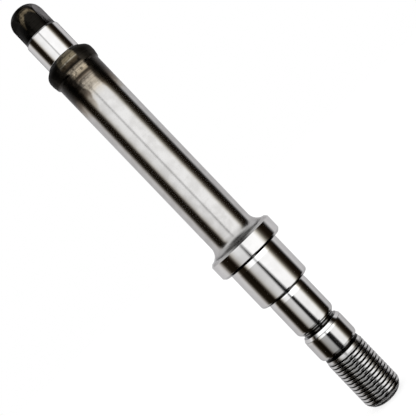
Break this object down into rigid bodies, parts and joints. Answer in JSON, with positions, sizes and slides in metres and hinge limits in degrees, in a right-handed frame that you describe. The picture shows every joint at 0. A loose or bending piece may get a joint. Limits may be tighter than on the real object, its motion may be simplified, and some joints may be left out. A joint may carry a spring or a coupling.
{
  "type": "stepped shaft",
  "caption": "Turned steel shaft with a threaded nose, two bearing seats with a neck between them, a larger seat, a flange, a long shank, a collar, a pilot and a hexagonal drive end.",
  "frame": {"origin": "centre of the threaded end face, which the shaft stands on", "axes": "+Z along the shaft's axis, from the threaded end to the hexagon; one flat of the hexagon faces 37.8 degrees from +X towards +Y"},
  "size_m": [0.028, 0.028, 0.1948],
  "materials": {
    "ground_steel": "ground and polished, with dark heat scale at the drive end"
  },
  "bodies": {
    "root": {"stepped_shaft": "ground_steel"}
  },
  "joints": []
}
